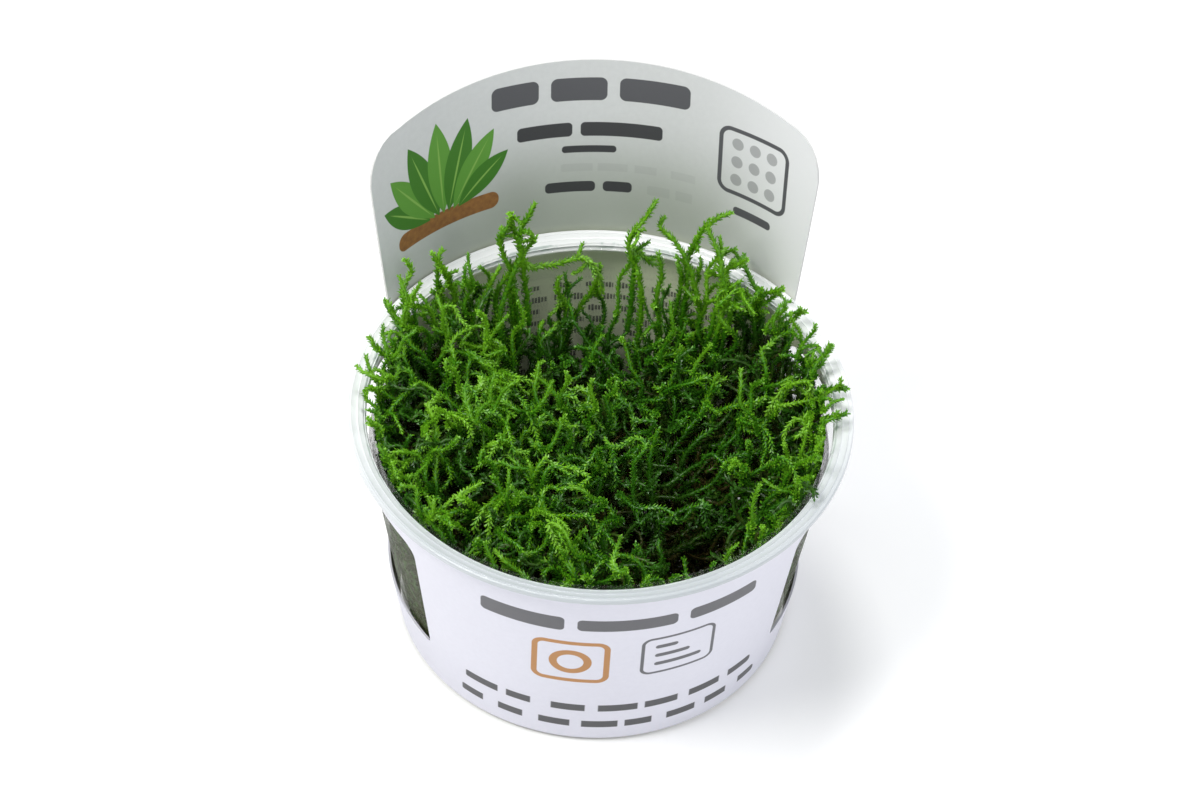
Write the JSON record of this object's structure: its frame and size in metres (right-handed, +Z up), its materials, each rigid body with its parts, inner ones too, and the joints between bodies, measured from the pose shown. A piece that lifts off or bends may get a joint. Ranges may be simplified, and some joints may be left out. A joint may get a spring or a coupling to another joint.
{
  "type": "flame moss tissue culture cup",
  "caption": "Clear tapered plastic cup in a white card sleeve with side windows and a tall arched back panel, filled with upright leafy flame moss shoots.",
  "frame": {"origin": "centre of the cup's flat underside, on the cup's axis", "axes": "+Z up along the cup's axis, the sleeve's printed front faces -Y, its tall back panel stands at +Y"},
  "size_m": [0.1, 0.1089, 0.0944],
  "materials": {
    "clear_plastic": "clear, smooth, slightly green in thick parts",
    "card": "satin coated white card",
    "moss": "moist, slightly glossy, yellow-green tips over dark older growth"
  },
  "bodies": {
    "root": {"cup": "clear_plastic", "card_sleeve": "card", "moss_back": "moss", "moss_back_right": "moss", "moss_right": "moss", "moss_front_right": "moss", "moss_front": "moss", "moss_front_left": "moss", "moss_left": "moss", "moss_back_left": "moss", "moss_centre": "moss"}
  },
  "joints": []
}
